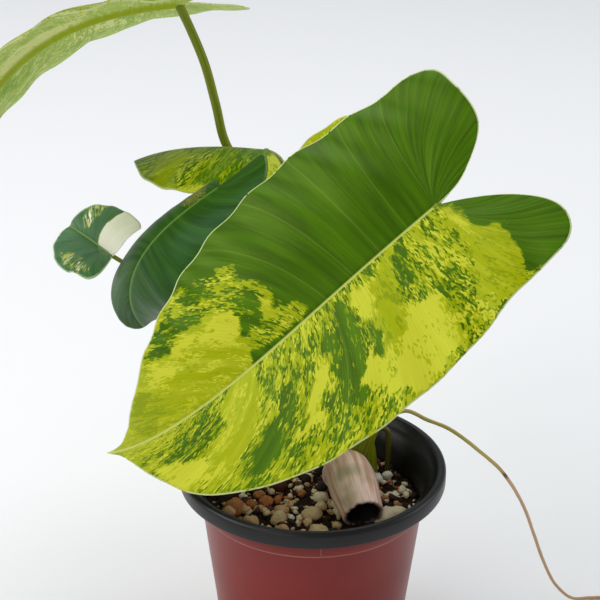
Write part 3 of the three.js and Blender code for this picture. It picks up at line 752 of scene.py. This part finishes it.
def grow_leaf(facts, rows, columns, finishes):
    """Makes one leaf piece, which stands for its CAD node."""
    blade = Blade(facts)
    leaf = bmesh.new()
    leaf.loops.layers.uv.new("veins")
    bmesh.ops.create_grid(leaf, x_segments=rows, y_segments=2 * columns, size=1, calc_uvs=True)
    veins = leaf.loops.layers.uv["veins"]
    marks = leaf.verts.layers.float_color.new("marks")
    span = facts["length"] / (1 - FAN_SHARE)
    for face in leaf.faces:
        face.smooth = True
        for corner in face.loops:
            u, v = corner[veins].uv
            t = abs(2 * v - 1) ** COLUMN_SPREAD
            corner[veins].uv = (u * span, math.copysign(t * facts["half_width"], v - 0.5))
    upper = list(leaf.verts)
    copied = bmesh.ops.extrude_face_region(leaf, geom=list(leaf.faces), use_keep_orig=True)["geom"]
    under_points = {item for item in copied if isinstance(item, bmesh.types.BMVert)}
    under_faces = {item for item in copied if isinstance(item, bmesh.types.BMFace)}
    for point in leaf.verts:
        share = (point.co.x + 1) / 2
        half = 0 if point.co.y >= 0 else 1
        t = abs(point.co.y) ** COLUMN_SPREAD
        if share < 1e-6 or share > 1 - 1e-6:
            t = 0
        x, y = blade.flat_point(share, t, half)
        side = 1 if half == 0 else -1
        tones = painted(x, side * y, side, facts)
        fanned = max(0, FAN_SHARE - share)
        along = (share + 0.6 * fanned) * facts["ripples"]
        ripple = noise.noise(Vector((along, t * 1.2, 5 * side)))
        calm = 1 - min(1.5 * fanned, 0.6)
        lift = facts["ripple"] * ripple * calm * min(1, 3 * t) * min(1, 6 * (1 - share))
        if x > 0:
            lift -= GROOVE_DEPTH * facts["rib_scale"] * math.exp(-((y / GROOVE_HALF_WIDTH) ** 2))
        point[marks] = (*tones, y if x > 0 else RIB_HALF_WIDTH * 2)
        point.co = blade.bent_point(x, y, half, lift, point in under_points) * MM
    for face in leaf.faces:
        is_wall = face not in under_faces and any(point in under_points for point in face.verts)
        face.material_index = 1 if face in under_faces else 0
        face.smooth = not is_wall
    bmesh.ops.remove_doubles(leaf, verts=leaf.verts, dist=1e-5)
    bmesh.ops.recalc_face_normals(leaf, faces=leaf.faces)
    name = facts["name"]
    link_piece(f"{name}_leaf", leaf, finishes, [f"leaf_{name}"])


SIDE_VEIN_SPACING = 7.5


def leaf_finish(name, half_width, rib_reach, tints, **shader_values):
    """Leaf skin: green broken by lime and cream in flecks and blocks that lie along the side veins,
    with a pale midrib, a fine pale rim and raised parallel veins."""
    dark, deep, lime, cream, rib, rim = tints
    finish, tree, shader = new_finish(name, **shader_values)
    uv = add_node(tree, "UVMap", uv_map="veins").outputs["UV"]
    attribute = add_node(tree, "Attribute", attribute_name="marks")
    marks = add_node(tree, "SeparateColor", {0: attribute.outputs["Color"]})
    pale, broken, creamy = marks.outputs[0], marks.outputs[1], marks.outputs[2]

    def blocks(width, length, offset, strength):
        """A random value for each little block of tissue, as far below zero as above it."""
        place = {"Vector": uv, "Location": (offset, offset, 0), "Scale": (1 / width, 1 / length, 1)}
        stretched = add_node(tree, "Mapping", place)
        cells = add_node(
            tree, "TexVoronoi", {"Vector": stretched.outputs[0], "Scale": 1.0, "Randomness": 0.9},
            voronoi_dimensions="2D", distance="CHEBYCHEV",
        )
        value = add_node(tree, "SeparateColor", {0: cells.outputs["Color"]}).outputs[0]
        return combine(tree, "MULTIPLY", combine(tree, "SUBTRACT", value, 0.5), strength)

    coarse = blocks(3.2, 9, 3.1, 0.65)
    middling = blocks(1.3, 4.5, 7.7, 1.0)
    fine = blocks(0.45, 1.8, 1.3, 1.25)
    scatter = combine(tree, "ADD", combine(tree, "ADD", coarse, middling), fine)
    paleness = combine(tree, "ADD", pale, combine(tree, "MULTIPLY", scatter, broken))
    is_middling = carry(tree, paleness, -0.36, -0.28)
    is_pale = carry(tree, paleness, 0.06, 0.12)
    cream_fine = combine(tree, "MULTIPLY", fine, 0.6)
    cream_scatter = combine(tree, "ADD", blocks(2.4, 8, 5.9, 0.8), cream_fine)
    creaminess = combine(tree, "ADD", creamy, cream_scatter)
    is_cream = carry(tree, creaminess, 0.46, 0.54)
    is_olive = carry(tree, creaminess, -0.5, -0.4, 0.75, 0.0)

    cloud = streaks(tree, "veins", 0.25, 0.02, 4.0)
    threads = streaks(tree, "veins", 1.1, 0.03, 3.0)
    greens = blend(tree, carry(tree, cloud, 0.35, 0.65), deep, dark)
    middlings = blend(tree, 0.5, dark, lime)
    streaked = blend(tree, carry(tree, cloud, 0.45, 0.7, 0.0, 0.5), lime, cream)
    olives = blend(tree, is_olive, streaked, middlings)
    limes = blend(tree, is_cream, olives, cream)
    greened = blend(tree, is_middling, greens, middlings)
    body = blend(tree, is_pale, greened, limes)
    threaded = blend(tree, 1.0, body, carry(tree, threads, 0.3, 0.7, 0.94, 1.05), "MULTIPLY")

    parts = add_node(tree, "SeparateXYZ", {0: uv})
    off_vein = combine(tree, "PINGPONG", parts.outputs["X"], SIDE_VEIN_SPACING)
    veined = blend(tree, carry(tree, off_vein, 0.0, 0.35, 0.1, 0.0), threaded, rib)
    on_rib = carry(tree, attribute.outputs["Alpha"], rib_reach * 0.5, rib_reach, 0.9, 0.0)
    with_rib = blend(tree, on_rib, veined, rib)
    out = combine(tree, "ABSOLUTE", parts.outputs["Y"], 0.0)
    on_rim = carry(tree, out, half_width - 0.8, half_width - 0.45)
    not_cream = combine(tree, "SUBTRACT", 1.0, is_cream)
    on_green_rim = combine(tree, "MULTIPLY", on_rim, not_cream)
    with_rim = blend(tree, on_green_rim, with_rib, rim)
    paint(tree, shader, with_rim)
    add_bump(tree, shader, threads, 0.25, 0.0006)
    return finish


def dress_leaf(facts, rows, columns, upper_tints, under_tints, shine=0.3, gloss_tint=(0.75, 1, 0.2, 1)):
    """Makes a leaf with its glossy upper skin and its duller, paler underside, and its stalk."""
    name, half_width = facts["name"], facts["half_width"]
    upper = leaf_finish(
        f"{name}_upper", half_width, 0.7, upper_tints,
        Roughness=0.36, Specular_IOR_Level=shine, Specular_Tint=gloss_tint,
    )
    under_rib_reach = 1.9 * RIB_HALF_WIDTH * facts["rib_scale"]
    under = leaf_finish(
        f"{name}_under", half_width, under_rib_reach, under_tints, Roughness=0.6, Specular_IOR_Level=0.2
    )
    grow_leaf(facts, rows, columns, [upper, under])
    stalk = grown_tube(facts["stalk"], facts["stalk_radii"], 90, 20)
    link_piece(f"{name}_stalk", stalk, [stalk_finish], [f"stalk_{name}"])


# A skin's tints are, in order, its full green, deep green, lime, cream, midrib and rim.
lime_tints = (
    tint(66, 108, 0), tint(44, 80, 0), tint(154, 164, 0),
    tint(192, 194, 48), tint(192, 200, 104), tint(204, 214, 150),
)
lime_under_tints = (
    tint(120, 148, 78), tint(104, 134, 66), tint(176, 190, 88),
    tint(210, 216, 140), tint(160, 176, 40), tint(196, 208, 140),
)

# The front leaf is the largest and faces the viewer, tip down to the left. Its upper half is solid
# dark green as far as a ragged line, and the rest is marbled with lime, cream and dark green.
front = {
    "name": "front", "length": 202, "half_width": 65, "rib_scale": 1,
    "joint": (50.6, 0, 229.1), "toward": (-0.759, -0.265, -0.595), "facing": (-0.342, -0.615, 0.71),
    "droop": 34, "sweep": -54, "twist": -10, "rise": (5, 18), "roll": (-11, -28), "lobe_droop": (6, -10),
    "wave": (0.8, 1.5), "wave_length": 27, "wave_phase": (0, 1), "ripple": 0.55, "ripples": 38,
    "outlines": (
        [(0, 0), (-12, 8), (-28, 22), (-37, 39), (-29, 52), (-2, 55), (42, 61), (97, 56), (142, 38),
         (164, 20), (179, 7.5), (189, 2.2), (202, 0)],
        [(0, 0), (-17, 2.4), (-37, 15), (-41, 36), (-36, 51), (-6, 58), (41, 63), (95, 57), (143, 39),
         (168, 20), (179, 8.5), (188, 2.4), (202, 0)],
    ),
    "stalk": [(23, 17, 101), (33, 17, 135), (46, 19, 180), (54, 12, 213), (51.2, 1.2, 227.8)],
    "stalk_radii": [4.2, 3.2, 2.8, 2.6, 2.5],
    "waver": 7,
    "start": ((0.05, 1, 0.25), (-1, 0.2, 0)),
    "zones": [
        (158, -16, 60, 44, 0, 0.95, 0.4, 0.15),
        (91, -31, 24, 9, -56, 0, 1.2, 0.15),
        (84, -5, 15, 6, 0, 0.2, 1.1, 0.2),
        (88, -18, 12, 5, -69, -0.75, 0.9, 0),
        (80, -14, 9, 2.2, -85, 0.9, 0.5, 0.4),
        (104, -20, 9, 8, 0, 1, 0.5, 0.9),
        (126, -37, 24, 6.5, 3, -0.7, 1, 0.1),
        (135, -24, 20, 3.5, 0, 1, 0.4, 0.9),
        (162, -10, 18, 6, 0, 0.8, 0.5, -0.6),
        (92, -57, 18, 11, -20, -1, 0.3, 0),
        (-27, 38, 19, 24, 0, -1, 0.4, 0),
        (-17, 12, 8, 14, -35, -1, 0.4, 0),
        (0, 34, 11, 24, 0, 0.9, 0.35, -0.35),
        (-15, 8, 18, 3.5, -38, -1, 0.4, 0),
        (-1, 13, 3.5, 9, 15, 1, 0.5, 1),
        (14, 24, 10, 24, -15, 0, 1.1, 0.35),
        (29, 11, 13, 5, 52, -0.75, 0.9, 0),
        (47, 41, 22, 19, 0, 1, 0.4, 1),
        (49, 12, 9, 4, 60, 1, 0.5, 1),
        (41, 18, 20, 7, 56, 0.9, 0.4, -0.45),
        (67, 23, 25, 7, 59, -0.8, 0.9, 0.2),
        (57, 31, 10, 3.5, 70, -0.95, 0.5, 0),
        (76, 10, 14, 7, 55, 0.15, 1.2, 0.4),
        (86, 31, 11, 4, 53, 1, 0.5, 1),
        (99, 23, 12, 4, 55, -0.6, 0.9, 0.2),
        (113, 34, 14, 5.5, 20, -0.9, 0.6, 0),
        (120, 15, 24, 8, 46, 0.95, 0.4, 0.2),
        (142, 12, 18, 9, 20, -0.4, 1.1, 0.2),
        (150, 23, 16, 4, -25, 1, 0.4, 0.9),
        (88, 50, 34, 5, -14, -0.15, 1.1, 0.15),
        (178, 4, 24, 6, 0, 0.5, 0.9, 0.3),
    ],
}
dress_leaf(front, 240, 56, lime_tints, lime_under_tints)

# The dark leaf hangs behind it on the left, nearly all deep green with a blue sheen. One half bends
# round behind, and its basal lobe stands up as a fin beside the front leaf's rim.
dark = {
    "name": "dark", "length": 101, "half_width": 35, "rib_scale": 0.7,
    "joint": (-42.9, 47, 218.5), "toward": (-0.818, -0.162, -0.552), "facing": (-0.282, -0.723, 0.631),
    "droop": 89, "sweep": 74, "twist": -33, "rise": (35, -29), "roll": (-45, -102), "lobe_droop": (-25, 50),
    "wave": (0.6, 0.8), "wave_length": 20, "wave_phase": (0, 2), "ripple": 0.3, "ripples": 26,
    "outlines": (
        [(0, 0), (-13, 0.3), (-23, 1.2), (-27.5, 4.5), (-26.3, 13), (-17.5, 20), (-5, 23.5), (20, 26),
         (48, 27), (73, 22), (87, 13), (97, 4), (101, 0)],
        [(0, 0), (-1.5, 3), (-1, 7), (2, 11.5), (8, 16), (17, 21), (28, 26), (50, 28), (75, 23), (90, 14),
         (97, 9), (100, 4), (101, 0)],
    ),
    "stalk": [(21, 20, 106), (4, 24, 142), (-20, 33, 182), (-36, 43, 206), (-42.2, 48.6, 215.6)],
    "stalk_radii": [3.4, 2.6, 2.3, 2.1, 1.4],
    "waver": 3,
    "start": ((-1, 0.2, 0), (-1, 0.2, 0)),
    # The one zone, near the joint, is a painted shadow: an olive-brown patch where the marbled leaf's shadow
    # falls on this one.
    "zones": [(11, -7, 8, 6, 30, 0.1, 0.8, 0)],
}
# The lime and cream tints here are olive-brown and colour only that painted shadow.
dark_tints = (
    tint(46, 86, 14), tint(28, 62, 4), tint(104, 102, 34),
    tint(140, 140, 60), tint(92, 126, 50), tint(98, 124, 56),
)
dark_under_tints = (
    tint(96, 126, 84), tint(84, 114, 74), tint(130, 140, 80),
    tint(160, 166, 110), tint(130, 150, 80), tint(150, 160, 96),
)
dress_leaf(dark, 130, 30, dark_tints, dark_under_tints, 0.2, (0.4, 0.9, 0.6, 1))

# The marbled leaf lies behind that one, nearly level, its near half turned down towards the viewer
# so that it looks like a roll. Lime patches and fine flecks break its green.
marbled = {
    "name": "marbled", "length": 83, "half_width": 29, "rib_scale": 0.7,
    "joint": (-22.1, 82, 224), "toward": (-0.851, 0.515, -0.105), "facing": (-0.12, 0.005, 0.993),
    "droop": 24, "sweep": -6, "twist": -13, "rise": (1, -30), "roll": (-35, -85), "lobe_droop": (4, 60),
    "wave": (0.6, 0.6), "wave_length": 22, "wave_phase": (1, 0), "ripple": 0.3, "ripples": 22,
    "outlines": (
        [(0, 0), (-4, 2.5), (-10, 7), (-17, 14.5), (-19.5, 24), (-8, 31), (17, 32), (40, 30), (61, 21),
         (72, 11), (78, 5), (81, 2), (83, 0)],
        [(0, 0), (-2, 3), (-5, 8), (-7, 14), (-7, 20), (-1, 27), (16, 31), (40, 29), (61, 20), (72, 11),
         (78, 5), (81, 2), (83, 0)],
    ),
    "stalk": [(24, 21, 108), (22, 40, 143), (4, 60, 182), (-15, 76, 208), (-22, 82, 222.6)],
    "stalk_radii": [3, 2.4, 2.1, 1.9, 1.9],
    "waver": 4,
    "start": ((-0.35, 0.8, 0), (-0.3, 0.8, 0)),
    "zones": [
        (12, 16, 15, 18, 0, -0.45, 0.7, -0.3),
        (32, 14, 9, 17, 0, 0, 1.1, 0.1),
        (49, 13, 8, 16, 10, 0.95, 0.3, 0),
        (66, 9, 9, 12, 0, 0, 1, 0.1),
        (30, 31, 26, 2.5, -4, 1, 0.4, 0.8),
        (-12, 14, 8, 14, 0, 0.9, 0.3, 0.7),
    ],
}
marbled_tints = (
    tint(74, 116, 2), tint(54, 92, 0), tint(140, 156, 4),
    tint(184, 192, 50), tint(150, 164, 60), tint(190, 196, 130),
)
dress_leaf(marbled, 100, 34, marbled_tints, lime_under_tints)

# The highest leaf arches up and over to the left, out of the picture. It shows its pale underside,
# with a thick yellow-green midrib and a cream band beside it.
high = {
    "name": "high", "length": 160, "half_width": 56, "rib_scale": 1,
    "joint": (-64.1, 120, 283.2), "toward": (-0.983, -0.167, -0.078), "facing": (-0.109, 0.183, 0.977),
    "droop": 96, "sweep": 52, "twist": 25, "rise": (24, -24), "roll": (-45, 36), "lobe_droop": (0, 3),
    "wave": (1.2, 1.2), "wave_length": 30, "wave_phase": (0, 2), "ripple": 0.5, "ripples": 34,
    "outlines": (
        [(0, 0), (-13, 5), (-30, 16), (-38, 30), (-30, 41), (-5, 45), (34, 48), (78, 44), (116, 30),
         (138, 16), (149, 7), (155, 3), (160, 0)],
        [(0, 0), (-13, 5), (-29, 16), (-37, 30), (-29, 41), (-4, 47), (33, 50), (77, 45), (117, 31),
         (139, 16), (150, 7), (155, 3), (160, 0)],
    ),
    "stalk": [
        (22, 22, 110), (14, 60, 132), (-4, 98, 160), (-27, 116, 190), (-42.5, 119.5, 213), (-47.2, 122, 232),
        (-52.2, 123, 252), (-58.4, 122, 269), (-63.8, 120.3, 282),
    ],
    "stalk_radii": [3.6, 2.9, 2.5, 2.3, 2.2, 2.2],
    "waver": 6,
    "start": ((0.15, 0.5, 0.1), (0, 0.55, 0.1)),
    "zones": [
        (75, 6, 28, 6, 0, 1, 0.2, 1),
        (94, -10, 8, 8, 0, -0.6, 0.5, 0),
        (100, -20, 12, 12, 0, 0, 0.8, 0.2),
        (38, -10, 12, 4, 0, 0.4, 0.8, 0.8),
    ],
}
high_under_tints = (
    tint(152, 186, 76), tint(138, 174, 52), tint(186, 206, 92),
    tint(224, 230, 146), tint(160, 176, 0), tint(206, 218, 140),
)
dress_leaf(high, 150, 36, lime_tints, high_under_tints)

# The small leaf at the left is dark blue-green with a few yellow flecks. Beside its stalk one half
# is cream-white, cut off straight along a side vein.
small = {
    "name": "small", "length": 55, "half_width": 19, "rib_scale": 0.45,
    "joint": (-98.5, 95, 164.9), "toward": (-0.497, 0.866, -0.052), "facing": (-0.43, -0.19, 0.88),
    "droop": 6, "sweep": 1, "twist": -12, "rise": (38, 43), "roll": (-44, -54), "lobe_droop": (19, -31),
    "wave": (0.4, 0.4), "wave_length": 14, "wave_phase": (0, 1), "ripple": 0.2, "ripples": 16,
    "outlines": (
        [(0, 0), (-5, 2), (-10, 7), (-13, 14), (-11, 19), (-2, 21), (11, 23), (26, 21), (40, 15), (47, 8),
         (51, 4), (53, 1), (55, 0)],
        [(0, 0), (-5, 2), (-11, 7), (-13, 14), (-11, 19), (-2, 22), (11, 23), (26, 21), (40, 15), (47, 8),
         (51, 4), (53, 1), (55, 0)],
    ),
    "stalk": [
        (20, 21, 98), (-8, 38, 108), (-38, 66, 122), (-66, 91, 139), (-88, 99, 155), (-98.2, 95.8, 164),
    ],
    "stalk_radii": [2.4, 1.7, 1.4, 1.2, 1.1],
    "waver": 1,
    "start": ((-1, 0.2, 0), (-1, 0.2, 0)),
    "zones": [
        (8, 16, 16, 4, 0, 0, 1, -0.1),
        (-34, -12, 50, 60, 0, 1.5, 0.1, 1.4),
        (34, -12, 7, 8, 0, 0, 1.1, -0.1),
    ],
}
small_tints = (
    tint(76, 122, 76), tint(58, 102, 62), tint(176, 184, 80),
    tint(255, 253, 232), tint(140, 160, 90), tint(170, 190, 140),
)
dress_leaf(small, 60, 16, small_tints, lime_under_tints)

# One more lime leaf stands behind the front leaf, and only a sliver of it shows over the rim.
back_outline = [
    (0, 0), (-4, 2), (-9, 6), (-12, 11), (-10, 15), (-2, 17), (10, 19), (24, 17), (36, 12), (43, 6),
    (46, 3), (48, 1), (50, 0),
]
back = {
    "name": "back", "length": 50, "half_width": 17, "rib_scale": 0.45,
    "joint": (13.6, 62, 230), "toward": (-0.75, -0.1, -0.65), "facing": (-0.35, -0.6, 0.72),
    "droop": 20, "sweep": 0, "twist": 0, "rise": (10, 10), "roll": (-20, -20), "lobe_droop": (0, 0),
    "wave": (0.4, 0.4), "wave_length": 14, "wave_phase": (0, 1), "ripple": 0.2, "ripples": 16,
    "outlines": (back_outline, back_outline),
    "stalk": [(25, 21, 110), (27, 38, 150), (22, 54, 196), (14.2, 61.6, 228.6)],
    "stalk_radii": [2.6, 1.9, 1.6, 1.3],
    "waver": 2,
    "start": ((0.7, 0.4, 0.2), (0.7, 0.4, 0.2)),
    "zones": [],
}
dress_leaf(back, 50, 12, lime_tints, lime_under_tints)
